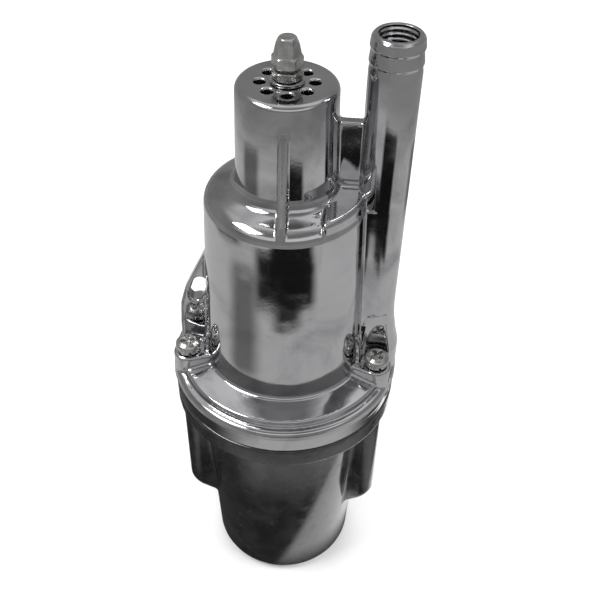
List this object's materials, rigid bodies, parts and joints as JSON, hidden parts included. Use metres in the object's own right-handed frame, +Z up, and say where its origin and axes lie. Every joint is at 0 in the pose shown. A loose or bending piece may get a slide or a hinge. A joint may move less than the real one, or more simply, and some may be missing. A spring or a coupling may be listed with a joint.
{
  "type": "vibratory well pump",
  "caption": "Electromagnetic vibratory submersible well pump: chromed casing with upper intake, side outlet pipe and rope eye, bolted to a black magnet housing.",
  "frame": {"origin": "centre of the flat bottom of the magnet housing", "axes": "+Z runs up the pump from the magnet housing to the intake, +X points to the outlet pipe, and +Y points to the cable inlet at the back"},
  "size_m": [0.0992, 0.0996, 0.2834],
  "materials": {
    "chromed_casting": "polished chrome plate over an aluminium casting",
    "black_enamel": "glossy black enamel over a casting",
    "black_rubber": "matt moulded rubber",
    "zinc_steel": "bright zinc plate",
    "plain_steel": "turned steel, slightly oiled",
    "core_steel": "dark laminated electrical steel",
    "copper_wire": "enamelled copper winding wire",
    "nylon": "natural nylon",
    "compound": "dark casting resin"
  },
  "bodies": {
    "pump_body": {"pump_casing": "chromed_casting", "magnet_housing": "black_enamel", "cable_gland": "black_rubber", "magnet_core": "core_steel", "potting_compound": "compound", "coil_bobbin_left": "nylon", "coil_left": "copper_wire", "coil_bobbin_right": "nylon", "coil_right": "copper_wire", "shock_absorber": "black_rubber", "spacer_ring": "nylon", "diaphragm": "black_rubber", "valve_stud": "zinc_steel", "valve_stop_washer": "zinc_steel", "valve_stop_nut": "zinc_steel", "face_washer": "zinc_steel", "stud_jam_nut": "zinc_steel", "cap_nut": "zinc_steel", "housing_screw_front_left": "zinc_steel", "spring_washer_front_left": "plain_steel", "housing_screw_back_left": "zinc_steel", "spring_washer_back_left": "plain_steel", "housing_screw_front_right": "zinc_steel", "spring_washer_front_right": "plain_steel", "housing_screw_back_right": "zinc_steel", "spring_washer_back_right": "plain_steel"},
    "vibrator": {"rod": "plain_steel", "armature": "core_steel", "armature_nut": "zinc_steel", "rod_collar_lower": "plain_steel", "rod_collar_upper": "plain_steel", "piston": "black_rubber", "piston_washer_lower": "zinc_steel", "piston_washer_upper": "zinc_steel", "piston_nut": "zinc_steel", "piston_lock_nut": "zinc_steel"},
    "valve_disc": {"intake_valve": "black_rubber"}
  },
  "joints": [
    {"name": "vibrator_slide", "type": "slide", "parent": "pump_body", "child": "vibrator", "axis": [0, 0, 1], "range_m": [-0.002, 0.002], "stiffness_N_per_m": 20000, "deforming": ["shock_absorber", "diaphragm"]},
    {"name": "intake_valve_slide", "type": "slide", "parent": "pump_body", "child": "valve_disc", "axis": [0, 0, -1], "range_m": [0, 0.0015], "stiffness_N_per_m": 300}
  ]
}
